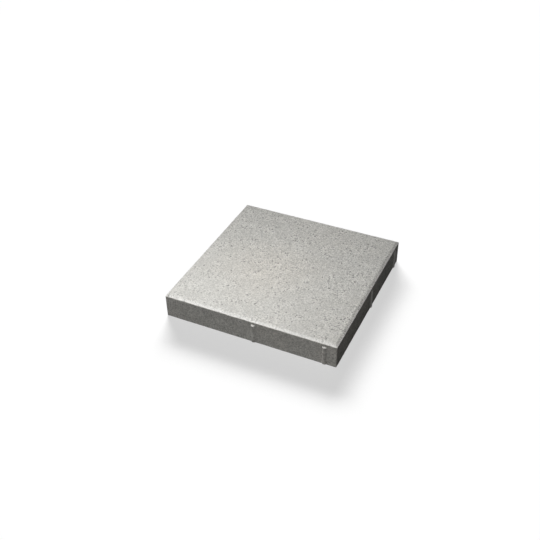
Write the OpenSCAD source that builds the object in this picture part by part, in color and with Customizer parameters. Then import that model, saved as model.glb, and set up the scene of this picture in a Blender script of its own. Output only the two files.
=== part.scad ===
// Concrete paving slab, pressed in one piece.
// A square slab with a chamfer round its wearing face and half-round spacer nibs on its sides.
// It lies flat, wearing face up. The origin is at the middle of the bed face, and +Z is up.

/* [Slab] */
// Length of each side, without the nibs
side = 348; // [200:1:600]
// Thickness, from the bed face to the wearing face
thickness = 50; // [30:1:120]
// Radius of the four upright corners
corner_radius = 1.5; // [1:0.5:12]

/* [Chamfer] */
// Width of the chamfer, seen from above
chamfer_width = 6; // [2:0.5:15]
// Drop of the chamfer, from the wearing face down to the side
chamfer_drop = 3; // [1:0.5:6]

/* [Spacer nibs] */
// How far a nib stands out from its side, which is the width of the joint it keeps
nib_projection = 2; // [1:0.25:3]
// Width of a nib where it leaves the side
nib_width = 9; // [8:0.5:16]
// Distance from the wearing face down to the top of a nib
nib_top_gap = 9; // [8:0.5:25]
// Height of the slope at the top of a nib, from the side down to the crest
nib_slope_height = 2; // [0.5:0.25:4]
// Distance from the middle of a side to the nib beside it
nib_middle_offset = 10; // [0:0.5:60]
// Distance from the corner of a side to the nib near it
nib_corner_distance = 24; // [16:0.5:80]

/* [Hidden] */
$fn = 96;
half_side = side / 2;
// The nib's radius follows from its width, a chord in the side, and its projection beyond that chord
nib_radius = (pow(nib_width / 2, 2) + pow(nib_projection, 2)) / (2 * nib_projection);
// The nib's upright axis lies this far inside the side
nib_axis_depth = nib_radius - nib_projection;
nib_top = thickness - nib_top_gap;
nib_crest_height = nib_top - nib_slope_height;
// The slope runs on past the side, into the slab, so that it leaves the side cleanly
slope_run = 1.25;
nib_root_height = nib_crest_height + nib_slope_height * slope_run;
// The section that planes a nib off is drawn out wider than the nib's own rib
nib_section_width = 3 * nib_radius;
// Both nibs of a side lie past its middle, so the nibs of two neighbouring slabs pass each other
nib_places = [nib_middle_offset, half_side - nib_corner_distance];
side_turns = [0, 90, 180, 270];
concrete_grey = [0.72, 0.72, 0.70];

// Section of the slab across one pair of sides: upright walls, chamfers and wearing face
module slab_section() {
    wall_height = thickness - chamfer_drop;
    face_half = half_side - chamfer_width;
    polygon([
        [-half_side, 0],
        [half_side, 0],
        [half_side, wall_height],
        [face_half, thickness],
        [-face_half, thickness],
        [-half_side, wall_height]
    ]);
}

// The section drawn out along the Y axis
module chamfered_bar() {
    rotate([90, 0, 0])
        linear_extrude(side, center = true)
            slab_section();
}

// Plan of the slab, with its corners rounded
module slab_plan() {
    straight = side - 2 * corner_radius;
    corner_centre = straight / 2;
    square([side, straight], center = true);
    square([straight, side], center = true);
    for (x = [-corner_centre, corner_centre], y = [-corner_centre, corner_centre])
        translate([x, y])
            circle(corner_radius);
}

// What both sections and the plan have in common, with the chamfers mitred at the corners
module slab_body() {
    intersection() {
        chamfered_bar();
        rotate(90)
            chamfered_bar();
        linear_extrude(thickness)
            slab_plan();
    }
}

// Section of a nib at right angles to its side, from the nib's axis outwards, with a sloping top
module nib_section() {
    polygon([
        [0, 0],
        [-nib_radius, 0],
        [-nib_radius, nib_crest_height],
        [nib_projection * slope_run - nib_radius, nib_root_height],
        [0, nib_root_height]
    ]);
}

// One nib, on its upright axis: a round rib from the bed face up, planed off along its section
module nib() {
    intersection() {
        cylinder(nib_root_height, r = nib_radius);
        rotate([90, 0, 90])
            linear_extrude(nib_section_width, center = true)
                nib_section();
    }
}

// The nibs of the front side
module side_nibs() {
    for (place = nib_places)
        translate([place, nib_axis_depth - half_side, 0])
            nib();
}

// The whole slab: the body, with the same nibs on each of its sides in turn
module slab() {
    color(concrete_grey)
        union() {
            slab_body();
            for (turn = side_turns)
                rotate(turn)
                    side_nibs();
        }
}

slab();
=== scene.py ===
"""Concrete paving slab: its pressed and moulded surfaces, its concrete, and a plain studio.

Lengths are in metres, in the slab's own frame: the origin is in the middle of the bed face, and +Z is up.
The front of the slab is towards -Y, and its right is towards +X.
"""

import math

import bmesh
import bpy
from mathutils import Matrix, Vector, noise


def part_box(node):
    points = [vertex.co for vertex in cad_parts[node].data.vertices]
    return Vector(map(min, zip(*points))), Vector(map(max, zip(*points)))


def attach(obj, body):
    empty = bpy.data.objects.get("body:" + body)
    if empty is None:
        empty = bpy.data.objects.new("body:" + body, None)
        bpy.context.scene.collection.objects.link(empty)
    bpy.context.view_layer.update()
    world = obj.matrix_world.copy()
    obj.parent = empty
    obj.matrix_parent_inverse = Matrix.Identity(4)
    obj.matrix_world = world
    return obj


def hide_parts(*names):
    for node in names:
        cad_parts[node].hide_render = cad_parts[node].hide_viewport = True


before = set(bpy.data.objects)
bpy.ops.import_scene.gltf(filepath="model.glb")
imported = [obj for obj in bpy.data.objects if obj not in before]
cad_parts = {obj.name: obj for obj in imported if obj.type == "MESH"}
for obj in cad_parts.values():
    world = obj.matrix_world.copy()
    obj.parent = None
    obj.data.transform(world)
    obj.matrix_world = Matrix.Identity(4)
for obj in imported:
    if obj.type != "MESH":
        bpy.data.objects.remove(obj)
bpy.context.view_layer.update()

MM = 0.001

# The slab's own box, the height of its wearing face, and how far the nib crests lie from its middle
SLAB_LOW, SLAB_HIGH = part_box("slab")
FACE_HEIGHT = SLAB_HIGH.z
NIB_CREST = SLAB_HIGH.x

# Slack for points that are merged or cut, and for faces that count as lying on the bed
MERGE_SLACK = 0.001 * MM
CUT_SLACK = 0.0001 * MM
BED_SLACK = 0.01 * MM

# Upright part of a normal past which a face is level, and the bend under which two faces are one
LEVEL = 0.99
FLAT_ANGLE = math.radians(0.5)

# Rounding of the edges: the rim of the wearing face is a little softer than the arrises
RIM_ROUNDING = 0.8 * MM
RIM_STEPS = 2
ARRIS_ROUNDING = 0.5 * MM
ARRIS_STEPS = 2

# Bends past which an outer edge is an arris, and a hollow one is the root of a nib
ARRIS_ANGLE = math.radians(40)
NIB_ROOT_ANGLE = math.radians(25)

# Net of the cast surface
NET_SPACING = 1.7 * MM
BED_NET_SPACING = 8 * MM

# How far an unevenness lies below the plain form on average, as a share of its height
UNEVEN_BIAS = 0.35

# Relief of the wearing face, pressed by a smooth plate: waves and grain are (length, height)
FACE_WAVE = (60 * MM, 0.08 * MM)
FACE_GRAIN = (4.5 * MM, 0.08 * MM)
FACE_PITS = {"cell": 12 * MM, "share": 0.4, "width": 2.2 * MM, "depth": 0.3 * MM}

# Relief of the sides, which slid past the mould as the slab was pushed out
SIDE_WAVE = (40 * MM, 0.10 * MM)
SIDE_GRAIN = (5 * MM, 0.10 * MM)
SIDE_DRAG = (6 * MM, 0.06 * MM)
SIDE_DRAG_STRETCH = 0.15
SIDE_PITS = {"cell": 18 * MM, "share": 0.35, "width": 2.6 * MM, "depth": 0.45 * MM}

# Relief of the bed face, left open by the loose mix
BED_GRAIN = (6 * MM, 0.5 * MM)

# Air pits: a factor that gives each cell its own chance, their smallest scale, and the share that is floor
PIT_DRAW = 7.3
PIT_SMALLEST = 0.5
PIT_FLOOR = 0.35

# Chips along the arrises: their noise is moved away from the other relief, and bites past a strength
CHIP_LENGTH = 7 * MM
CHIP_DEPTH = 0.35 * MM
CHIP_PLACE = Vector((5.2, 1.7, 8.3))
CHIP_STRENGTH = (0.3, 1.0)

# Where relief changes: parts of a normal that point up or down, and the bend that makes an arris
FACE_TILT = (0.3, 0.8)
BED_TILT = (0.8, 0.98)
ARRIS_BEND = (math.radians(5), math.radians(15))

# Material slots, and the upward part of a normal past which a face is pressed
PRESSED = 0
MOULDED = 1
PRESSED_TILT = 0.8

# Painted highlights: the name of their mask, and how far each of the two near chamfers is painted pale
# where light catches it
PAINTED_HIGHLIGHT = "painted_highlight"
HIGHLIGHT_FRONT = 0.5
HIGHLIGHT_RIGHT = 1.0
# Depths below the wearing face over which the mask comes
HIGHLIGHT_FOOT = (3.8 * MM, 3.2 * MM)
HIGHLIGHT_FRONT_HEAD = (0.6 * MM, 2.6 * MM)
HIGHLIGHT_RIGHT_HEAD = (2.0 * MM, 2.8 * MM)
HIGHLIGHT_NIB_TOP = (12 * MM, 11 * MM)
# Distances in from the nib crests over which the mask comes
HIGHLIGHT_MARGIN = (16 * MM, 10 * MM)
HIGHLIGHT_NIB = (2.0 * MM, 1.5 * MM)

# Colours, linear
PASTE_GREY = (0.533, 0.526, 0.496)
PASTE_BEIGE = (0.555, 0.53, 0.485)
# Pale colour painted on as a highlight where light catches the chamfers and nibs
HIGHLIGHT_PALE = (0.78, 0.77, 0.74)
GRAIN_GREY = (0.15, 0.15, 0.15)
GRAIN_BROWN = (0.21, 0.20, 0.185)
GRAIN_PALE = (0.80, 0.79, 0.77)
# Painted shade inside the air pores
PORE_SHADE = (0.10, 0.10, 0.095)

# Stretches of a noise's values over which something changes
NOISE_CORE = (0.35, 0.65)
NOISE_MOST = (0.3, 0.7)
NOISE_WHOLE = (0.25, 0.75)

# Beige clouds in the paste, and the noise values between which they come
CLOUD_LENGTH = 130 * MM
CLOUD_DETAIL = 3.0
CLOUD_VALUES = (0.42, 0.75)

# Warm patch of the wearing face: its middle, the radii between which it fades, and how uneven its rim is
WARM_MIDDLE = (-25 * MM, -25 * MM, FACE_HEIGHT)
WARM_REACH = (10 * MM, 150 * MM)
WARM_RIM = (0.85, 1.2)

# Painted glare over the sand, which washes out the grain towards the front left: its slant, and where it
# thins out
GLARE_SLANT = 0.4
GLARE_REACH = (-130 * MM, 40 * MM)

# Height up to which the sides grow darker
FOOT_TOP = FACE_HEIGHT - 4 * MM

# Sand, and the depth of the bump that it makes with the pores
SAND_DETAIL = 3.0
SAND_ROUGHNESS = 0.65
BUMP_DEPTH = 0.5 * MM

# Grains and pores: the smallest one's share of the largest radius, how uneven they are, and their soft rim
SPECK_SMALLEST = 0.4
SPECK_WOBBLE = (-0.35, 0.35)
SPECK_RIM = (0.4, 1.0)

# Looks of the two surfaces
# Tones are changes of brightness up and down, and shares are how far a colour covers the paste
# Grains and pores are (cell, share of the cells, largest radius)
PRESSED_LOOK = {
    "patch_length": 28 * MM,
    "sand_length": 2.4 * MM,
    "beige": (0.0, 0.25),
    "warm": 0.75,
    "patch_tone": 0.07,
    "sand_tone": 0.45,
    "foot_tone": 0.0,
    "dark_grains": (4.6 * MM, 0.85, 3.1 * MM),
    "dark_share": (0.12, 0.92),
    "light_grains": (5.0 * MM, 0.6, 2.0 * MM),
    "light_share": 0.7,
    "pores": (9 * MM, 0.5, 2.6 * MM),
    "pore_shade_share": 0.75,
    # Painted glare: how far the grain is washed out at the front left
    "glare": 0.36,
    "roughness": (0.42, 0.60),
    "specular": 0.6,
    "bump": 0.4,
}
MOULDED_LOOK = {
    "patch_length": 16 * MM,
    "sand_length": 2.3 * MM,
    "beige": (0.2, 0.8),
    "warm": 0.0,
    "patch_tone": 0.08,
    "sand_tone": 0.34,
    "foot_tone": 0.07,
    "dark_grains": (5.5 * MM, 0.45, 2.8 * MM),
    "dark_share": (0.15, 0.60),
    "light_grains": (7.0 * MM, 0.30, 2.0 * MM),
    "light_share": 0.5,
    "pores": (21 * MM, 0.35, 2.4 * MM),
    "pore_shade_share": 0.45,
    "glare": 0.0,
    "roughness": (0.8, 1.0),
    "specular": 0.1,
    "bump": 0.5,
}

# Sockets of a Mix node that mixes colours
MIX_SHARE = 0
MIX_FIRST = 6
MIX_SECOND = 7
MIX_RESULT = 2

# Camera: its direction from the slab and its roll, its distance and shift, and its lens in millimetres
CAMERA_AZIMUTH = math.radians(25.69)
CAMERA_ELEVATION = math.radians(37.46)
CAMERA_ROLL = math.radians(-0.88)
CAMERA_DISTANCE = 1.5817
CAMERA_SIDESTEP = -0.0340
CAMERA_RISE = 0.0334
CAMERA_LENS = 52.53
CAMERA_SENSOR = 36.0

# Soft boxes, which light the slab alone: the point they face, and the name, place, size and watts of each
LAMP_AIM = Vector((0.0, 0.0, 0.04))
SOFT_BOXES = (
    ("left_box", (-8.00, -0.85, 10.40), 4.5, 300.0),
    ("front_box", (0.26, -1.00, 0.60), 0.4, 2.7),
    ("upper_box", (-0.09, -0.19, 0.60), 0.2, 2.0),
    ("near_box", (-0.22, -0.19, 0.36), 0.15, 0.38),
    ("back_box", (-0.40, 1.60, 0.35), 0.4, 1.4),
)

# Suns, which light the floor alone: how far the slab's rim throws its shadow, how softly, and their turns
SHADOW_FALL = Vector((0.048, -0.085, -FACE_HEIGHT))
SHADOW_SOFTNESS = math.radians(15)
SHADOW_TURNS = (math.radians(-11), 0.0, math.radians(11))

# Floor: half its length, its gap below the slab, the grey left in full shadow, and what it throws back
FLOOR_HALF = 6.0
FLOOR_DROP = 0.2 * MM
SHADOW_GREY = 0.610
FLOOR_BOUNCE = 0.075

# Light of the surround on the slab
WORLD_FILL = 0.02


def smooth_step(value, start, end):
    """0 up to start, 1 from end on, and a smooth change between them. start may be the higher one."""
    share = min(1.0, max(0.0, (value - start) / (end - start)))
    return share * share * (3 - 2 * share)


def in_scene(name, data):
    """An object for a mesh, a lamp or a camera, put in the scene."""
    made = bpy.data.objects.new(name, data)
    bpy.context.scene.collection.objects.link(made)
    return made


def mesh_object(name, bm):
    """A mesh object at the origin, made from a bmesh that is used up."""
    mesh = bpy.data.meshes.new(name)
    bm.to_mesh(mesh)
    bm.free()
    return in_scene(name, mesh)


def largest_level(bm, way):
    """The largest level face of a bmesh that looks up, with a way of 1, or down, with -1."""
    return max(bm.faces, key=lambda face: (face.normal.z * way > LEVEL) * face.calc_area())


def bevel(bm, edges, width, steps):
    """Rounds edges."""
    bmesh.ops.bevel(
        bm,
        geom=edges,
        affect="EDGES",
        offset=width,
        segments=steps,
        profile=0.5,
        material=-1,
        clamp_overlap=True,
    )


def round_edges(bm):
    """Rounds the rim of the wearing face, and the arrises as the mould and handling leave them."""
    bevel(bm, largest_level(bm, 1).edges[:], RIM_ROUNDING, RIM_STEPS)
    arrises = [
        edge
        for edge in bm.edges
        if edge.is_manifold and edge.is_convex and edge.calc_face_angle() > ARRIS_ANGLE
    ]
    bevel(bm, arrises, ARRIS_ROUNDING, ARRIS_STEPS)


def whole(bm):
    """All the geometry of a bmesh."""
    return bm.verts[:] + bm.edges[:] + bm.faces[:]


def bed_part(bm):
    """The geometry of a bmesh that lies on the bed."""
    faces = [
        face
        for face in bm.faces
        if face.normal.z < -LEVEL and face.calc_center_median().z < BED_SLACK
    ]
    edges = {edge for face in faces for edge in face.edges}
    verts = {vertex for face in faces for vertex in face.verts}
    return faces + list(edges) + list(verts)


def cut_across(bm, part, axis, spacing):
    """Cuts a part of the slab into strips across one axis. part gives its geometry before each cut."""
    low = SLAB_LOW[axis]
    length = SLAB_HIGH[axis] - low
    count = round(length / spacing)
    normal = Vector((0, 0, 0))
    normal[axis] = 1
    for step in range(1, count):
        point = normal * (low + length * step / count)
        bmesh.ops.bisect_plane(bm, geom=part(bm), dist=CUT_SLACK, plane_co=point, plane_no=normal)


def cut_net(bm):
    """Cuts the wearing face, chamfers and sides into a fine net, and the bed face into a coarse one."""
    bmesh.ops.delete(bm, geom=[largest_level(bm, -1)], context="FACES_ONLY")
    for axis in range(3):
        cut_across(bm, whole, axis, NET_SPACING)
    rim = [edge for edge in bm.edges if edge.is_boundary]
    bmesh.ops.holes_fill(bm, edges=rim, sides=0)
    for axis in range(2):
        cut_across(bm, bed_part, axis, BED_NET_SPACING)


def uneven(point, wave):
    """Depth of a smooth unevenness of a given length and height."""
    length, height = wave
    return height * (UNEVEN_BIAS + noise.noise(point / length))


def pits(point, cell, share, width, depth):
    """Depth of the air pits: one in a share of the cells, each with its own size."""
    distances, centres = noise.voronoi(point / cell)
    chance = 0.5 + noise.noise(centres[0] * PIT_DRAW)
    if chance > share:
        return 0.0
    scale = PIT_SMALLEST + chance / share
    radius = width / cell * scale
    return depth * scale * (1 - smooth_step(distances[0], PIT_FLOOR * radius, radius))


def chips(point):
    """Depth of the chips along an arris."""
    strength = noise.noise(point / CHIP_LENGTH + CHIP_PLACE)
    return CHIP_DEPTH * smooth_step(strength, *CHIP_STRENGTH)


def face_relief(point):
    """Depth of the pressed surface below the plain form."""
    return uneven(point, FACE_WAVE) + uneven(point, FACE_GRAIN) + pits(point, **FACE_PITS)


def side_relief(point):
    """Depth of the moulded surface below the plain form, with upright drag marks."""
    dragged = Vector((point.x, point.y, point.z * SIDE_DRAG_STRETCH))
    marks = uneven(point, SIDE_WAVE) + uneven(point, SIDE_GRAIN) + uneven(dragged, SIDE_DRAG)
    return marks + pits(point, **SIDE_PITS)


def arris_share(vertex):
    """1 on an arris, 0 on an open face."""
    bend = max((edge.calc_face_angle(0.0) for edge in vertex.link_edges), default=0.0)
    return smooth_step(bend, *ARRIS_BEND)


def sink(vertex):
    """How far a point of the slab lies below the plain form."""
    point = vertex.co
    face = smooth_step(vertex.normal.z, *FACE_TILT)
    bed = smooth_step(-vertex.normal.z, *BED_TILT)
    side = 1 - face - bed
    depth = arris_share(vertex) * chips(point)
    if face > 0:
        depth += face * face_relief(point)
    if side > 0:
        depth += side * side_relief(point)
    if bed > 0:
        depth += bed * uneven(point, BED_GRAIN)
    return max(0.0, depth)


def highlight_share(point):
    """How far a point is painted pale as a highlight: on the front and right chamfers, the right nibs and
    all nib tops.
    """
    depth = FACE_HEIGHT - point.z
    front_gap = NIB_CREST + point.y
    right_gap = NIB_CREST - point.x
    nearest_gap = NIB_CREST - max(abs(point.x), abs(point.y))
    foot = smooth_step(depth, *HIGHLIGHT_FOOT)
    front = HIGHLIGHT_FRONT * foot * smooth_step(depth, *HIGHLIGHT_FRONT_HEAD)
    front *= smooth_step(front_gap, *HIGHLIGHT_MARGIN)
    right = HIGHLIGHT_RIGHT * foot * smooth_step(depth, *HIGHLIGHT_RIGHT_HEAD)
    right *= smooth_step(right_gap, *HIGHLIGHT_MARGIN)
    right_nib = smooth_step(right_gap, *HIGHLIGHT_NIB)
    nib_top = smooth_step(nearest_gap, *HIGHLIGHT_NIB) * smooth_step(depth, *HIGHLIGHT_NIB_TOP)
    return max(front, right, right_nib, nib_top)


def cast_surface(bm):
    """Gives the net the relief of the cast surfaces, and marks where highlights are painted."""
    bm.normal_update()
    painted_highlight = bm.verts.layers.float.new(PAINTED_HIGHLIGHT)
    moves = []
    for vertex in bm.verts:
        vertex[painted_highlight] = highlight_share(vertex.co)
        moves.append(vertex.normal * -sink(vertex))
    for vertex, move in zip(bm.verts, moves):
        vertex.co += move
        vertex.co.z = max(vertex.co.z, 0.0)


def shade(bm):
    """Shades the surface smoothly, with sharp nib roots, and gives each face its concrete."""
    for edge in bm.edges:
        edge.smooth = edge.is_convex or edge.calc_face_angle(0.0) < NIB_ROOT_ANGLE
    for face in bm.faces:
        face.smooth = True
        face.material_index = PRESSED if face.normal.z > PRESSED_TILT else MOULDED


def add_node(tree, kind, sockets=None, **settings):
    """A node with its settings, and with values or links on its input sockets."""
    made = tree.nodes.new(kind)
    for name, value in settings.items():
        setattr(made, name, value)
    for socket, value in (sockets or {}).items():
        if isinstance(value, bpy.types.NodeSocket):
            tree.links.new(value, made.inputs[socket])
        else:
            made.inputs[socket].default_value = value
    return made


def add_math(tree, operation, first, second):
    """A Math node's result."""
    made = add_node(tree, "ShaderNodeMath", {0: first, 1: second}, operation=operation)
    return made.outputs[0]


def add_product(tree, product, *factors):
    """The product of several values."""
    for factor in factors:
        product = add_math(tree, "MULTIPLY", product, factor)
    return product


def add_blend(tree, share, first, second, blend_type="MIX"):
    """A colour mix's result."""
    made = add_node(
        tree,
        "ShaderNodeMix",
        {MIX_SHARE: share, MIX_FIRST: first, MIX_SECOND: second},
        data_type="RGBA",
        blend_type=blend_type,
    )
    return made.outputs[MIX_RESULT]


def add_range(tree, value, from_low, from_high, to_low, to_high):
    """A smooth change of range, held at its ends."""
    made = add_node(
        tree,
        "ShaderNodeMapRange",
        {"Value": value, "From Min": from_low, "From Max": from_high, "To Min": to_low, "To Max": to_high},
        interpolation_type="SMOOTHSTEP",
    )
    return made.outputs["Result"]


def add_noise(tree, place, length, detail=2.0, roughness=0.5):
    """Noise of about the given length."""
    made = add_node(
        tree,
        "ShaderNodeTexNoise",
        {"Vector": place, "Scale": 1 / length, "Detail": detail, "Roughness": roughness},
    )
    return made.outputs["Fac"]


def add_specks(tree, place, wobble, cell, share, radius):
    """Specks in a share of the cells, each of its own size: how far inside one, and its own number."""
    cells = add_node(tree, "ShaderNodeTexVoronoi", {"Vector": place, "Scale": 1 / cell})
    chance = add_node(tree, "ShaderNodeSeparateColor", {"Color": cells.outputs["Color"]}).outputs
    present = add_math(tree, "LESS_THAN", chance["Red"], share)
    smallest = SPECK_SMALLEST * radius / cell
    own_radius = add_range(tree, chance["Green"], 0.0, 1.0, smallest, radius / cell)
    near = add_math(tree, "DIVIDE", cells.outputs["Distance"], own_radius)
    inside = add_range(tree, add_math(tree, "ADD", near, wobble), *SPECK_RIM, 1.0, 0.0)
    return add_product(tree, inside, present), chance["Blue"]


def solid(colour):
    """A colour without see-through."""
    return (*colour, 1.0)


def grey(value):
    """A neutral colour."""
    return solid((value, value, value))


def paste_colour(tree, place, look):
    """Cement paste: grey, with beige clouds and one warm patch."""
    clouds = add_noise(tree, place, CLOUD_LENGTH, CLOUD_DETAIL)
    cloudy = add_range(tree, clouds, *CLOUD_VALUES, *look["beige"])
    middle = add_node(tree, "ShaderNodeVectorMath", {0: place, 1: WARM_MIDDLE}, operation="DISTANCE")
    rim = add_range(tree, clouds, *NOISE_MOST, *WARM_RIM)
    away = add_product(tree, middle.outputs["Value"], rim)
    warm = add_range(tree, away, *WARM_REACH, look["warm"], 0.0)
    beige = add_math(tree, "MAXIMUM", cloudy, warm)
    return add_blend(tree, beige, solid(PASTE_GREY), solid(PASTE_BEIGE))


def bare_share(tree, axes, painted_highlight, look):
    """How far sand and grains show: less under the painted highlights, and less under the painted glare
    towards the front left.
    """
    # Painted glare: sand and grains fade towards the front left
    slanted = add_math(tree, "ADD", axes["Y"], add_product(tree, axes["X"], GLARE_SLANT))
    out_of_glare = add_range(tree, slanted, *GLARE_REACH, 1 - look["glare"], 1.0)
    return add_product(tree, add_math(tree, "SUBTRACT", 1.0, painted_highlight), out_of_glare)


def paste_tone(tree, axes, patches, sand, bare, look):
    """Brightness of the paste: it changes in patches, from sand grain to sand grain, and up the sides."""
    patch_tone = add_range(tree, patches, *NOISE_WHOLE, 1 - look["patch_tone"], 1 + look["patch_tone"])
    sand_change = add_range(tree, sand, *NOISE_WHOLE, -look["sand_tone"], look["sand_tone"])
    sand_tone = add_math(tree, "ADD", add_product(tree, sand_change, bare), 1.0)
    foot_tone = add_range(tree, axes["Z"], 0.0, FOOT_TOP, 1 + look["foot_tone"], 1 - look["foot_tone"])
    return add_product(tree, patch_tone, sand_tone, foot_tone)


def concrete(name, look):
    """Concrete: cement paste with sand in it, darker and paler grains, and small open pores that are
    painted dark with the shade inside them.
    """
    material = bpy.data.materials.new(name)
    material.use_nodes = True
    tree = material.node_tree
    shader = tree.nodes["Principled BSDF"]
    place = add_node(tree, "ShaderNodeTexCoord").outputs["Object"]
    axes = add_node(tree, "ShaderNodeSeparateXYZ", {"Vector": place}).outputs
    # Mask of the painted highlights
    painted_highlight = add_node(tree, "ShaderNodeAttribute", attribute_name=PAINTED_HIGHLIGHT).outputs["Fac"]
    bare = bare_share(tree, axes, painted_highlight, look)

    patches = add_noise(tree, place, look["patch_length"])
    sand = add_noise(tree, place, look["sand_length"], SAND_DETAIL, SAND_ROUGHNESS)
    wobble = add_range(tree, sand, *NOISE_MOST, *SPECK_WOBBLE)
    dark, dark_kind = add_specks(tree, place, wobble, *look["dark_grains"])
    light, _ = add_specks(tree, place, wobble, *look["light_grains"])
    pore, _ = add_specks(tree, place, wobble, *look["pores"])

    colour = paste_colour(tree, place, look)
    # Painted highlight: where light catches the near chamfers and the nibs, the paste is painted pale
    colour = add_blend(tree, painted_highlight, colour, solid(HIGHLIGHT_PALE))
    tone = paste_tone(tree, axes, patches, sand, bare, look)
    colour = add_blend(tree, 1.0, colour, tone, "MULTIPLY")
    gathered = add_range(tree, patches, *NOISE_CORE, *look["dark_share"])
    dark_share = add_product(tree, dark, gathered, bare)
    dark_colour = add_blend(tree, dark_kind, solid(GRAIN_GREY), solid(GRAIN_BROWN))
    colour = add_blend(tree, dark_share, colour, dark_colour)
    light_share = add_product(tree, light, look["light_share"], bare)
    colour = add_blend(tree, light_share, colour, solid(GRAIN_PALE))
    # Painted shade: the pores are painted dark as the shade inside them
    pore_shade_share = add_product(tree, pore, look["pore_shade_share"])
    colour = add_blend(tree, pore_shade_share, colour, solid(PORE_SHADE))
    tree.links.new(colour, shader.inputs["Base Color"])

    roughness = add_range(tree, sand, *NOISE_MOST, *look["roughness"])
    tree.links.new(roughness, shader.inputs["Roughness"])
    shader.inputs["Specular IOR Level"].default_value = look["specular"]

    relief = add_math(tree, "SUBTRACT", sand, pore)
    bump = add_node(
        tree,
        "ShaderNodeBump",
        {"Strength": look["bump"], "Distance": BUMP_DEPTH, "Height": relief},
    )
    tree.links.new(bump.outputs["Normal"], shader.inputs["Normal"])
    return material


def paving_slab():
    """The slab, from a merged copy of its plain form."""
    bm = bmesh.new()
    bm.from_mesh(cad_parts["slab"].data)
    bmesh.ops.remove_doubles(bm, verts=bm.verts[:], dist=MERGE_SLACK)
    bmesh.ops.dissolve_limit(bm, angle_limit=FLAT_ANGLE, verts=bm.verts[:], edges=bm.edges[:])
    round_edges(bm)
    cut_net(bm)
    cast_surface(bm)
    shade(bm)
    slab = mesh_object("paving_slab", bm)
    slab.data.materials.append(concrete("pressed_concrete", PRESSED_LOOK))
    slab.data.materials.append(concrete("moulded_concrete", MOULDED_LOOK))
    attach(slab, "root")
    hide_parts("slab")
    return slab


def seen_directly(tree):
    """1 for rays that show the backdrop: camera, mirror and glass rays."""
    rays = add_node(tree, "ShaderNodeLightPath").outputs
    straight = add_math(tree, "MAXIMUM", rays["Is Camera Ray"], rays["Is Glossy Ray"])
    return add_math(tree, "MAXIMUM", straight, rays["Is Transmission Ray"])


def floor_material():
    """White that keeps a shadow where it is seen directly, and throws little light back at the slab."""
    material = bpy.data.materials.new("studio_floor")
    material.use_nodes = True
    tree = material.node_tree
    tree.nodes.clear()
    glow = add_node(tree, "ShaderNodeEmission", {"Color": grey(1.0), "Strength": SHADOW_GREY})
    lit = add_node(tree, "ShaderNodeBsdfDiffuse", {"Color": grey(1 - SHADOW_GREY)})
    shown = add_node(tree, "ShaderNodeAddShader", {0: glow.outputs[0], 1: lit.outputs[0]})
    dim = add_node(tree, "ShaderNodeBsdfDiffuse", {"Color": grey(FLOOR_BOUNCE)})
    mixed = add_node(
        tree,
        "ShaderNodeMixShader",
        {0: seen_directly(tree), 1: dim.outputs[0], 2: shown.outputs[0]},
    )
    add_node(tree, "ShaderNodeOutputMaterial", {"Surface": mixed.outputs[0]})
    return material


def studio_floor():
    """A plain white floor, a hair below the slab."""
    bm = bmesh.new()
    bmesh.ops.create_grid(bm, x_segments=1, y_segments=1, size=FLOOR_HALF)
    bmesh.ops.translate(bm, verts=bm.verts[:], vec=(0, 0, -FLOOR_DROP))
    floor = mesh_object("studio_floor", bm)
    floor.data.materials.append(floor_material())
    return floor


def studio_world():
    """A white surround that lights the slab only a little."""
    world = bpy.data.worlds.new("studio_world")
    world.use_nodes = True
    tree = world.node_tree
    background = tree.nodes["Background"]
    background.inputs["Color"].default_value = grey(1.0)
    strength = add_range(tree, seen_directly(tree), 0.0, 1.0, WORLD_FILL, 1.0)
    tree.links.new(strength, background.inputs["Strength"])
    bpy.context.scene.world = world


def aim(lamp, direction):
    """Turns a lamp so that its light goes in a direction."""
    lamp.rotation_euler = direction.to_track_quat("-Z", "Y").to_euler()


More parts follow.
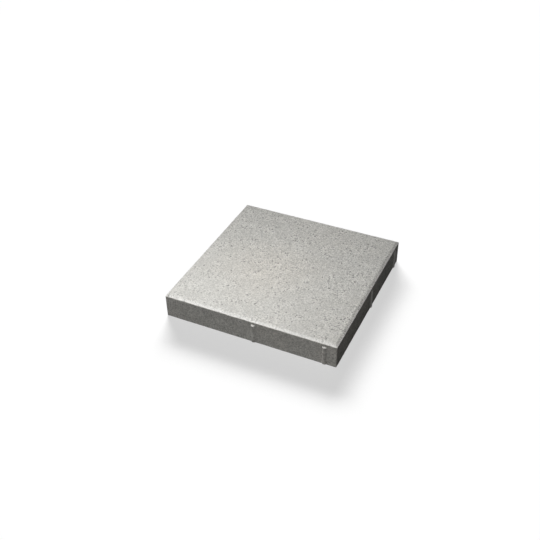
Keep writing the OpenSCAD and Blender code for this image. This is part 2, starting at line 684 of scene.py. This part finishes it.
def light_only(lamp, receiver):
    """Lets a lamp light one object alone."""
    group = bpy.data.collections.new(lamp.name + "_lights")
    group.objects.link(receiver)
    lamp.light_linking.receiver_collection = group


def soft_box(name, place, size, power):
    """A square soft box that faces the slab."""
    lamp = bpy.data.lights.new(name, "AREA")
    lamp.shape = "SQUARE"
    lamp.size = size
    lamp.energy = power
    box = in_scene(name, lamp)
    box.visible_camera = False
    box.location = place
    aim(box, LAMP_AIM - Vector(place))
    return box


def floor_sun(name, turn):
    """A low sun from behind, turned about the upright. All the suns together light a level floor fully."""
    lamp = bpy.data.lights.new(name, "SUN")
    lamp.energy = math.pi * SHADOW_FALL.length / -SHADOW_FALL.z / len(SHADOW_TURNS)
    lamp.angle = SHADOW_SOFTNESS
    sun = in_scene(name, lamp)
    aim(sun, Matrix.Rotation(turn, 3, "Z") @ SHADOW_FALL)
    return sun


def studio_lamps(slab, floor):
    """Soft boxes round the slab for its own light, and a fan of low suns for the shadow on the floor."""
    for name, place, size, power in SOFT_BOXES:
        light_only(soft_box(name, place, size, power), slab)
    for count, turn in enumerate(SHADOW_TURNS):
        light_only(floor_sun("floor_sun_%d" % count, turn), floor)


def studio_camera():
    """The camera, placed round the slab as the photograph's is."""
    flat = math.cos(CAMERA_ELEVATION)
    back = Vector(
        (
            math.sin(CAMERA_AZIMUTH) * flat,
            -math.cos(CAMERA_AZIMUTH) * flat,
            math.sin(CAMERA_ELEVATION),
        )
    )
    level_right = Vector((0, 0, 1)).cross(back).normalized()
    right = Matrix.Rotation(CAMERA_ROLL, 3, back) @ level_right
    up = back.cross(right)
    lens = bpy.data.cameras.new("studio_camera")
    lens.lens = CAMERA_LENS
    lens.sensor_width = CAMERA_SENSOR
    camera = in_scene("studio_camera", lens)
    camera.matrix_world = Matrix((right, up, back)).transposed().to_4x4()
    camera.location = right * CAMERA_SIDESTEP + up * CAMERA_RISE + back * CAMERA_DISTANCE
    bpy.context.scene.camera = camera


studio_camera()
slab = paving_slab()
floor = studio_floor()
studio_world()
studio_lamps(slab, floor)
bpy.context.scene.view_settings.view_transform = "Standard"
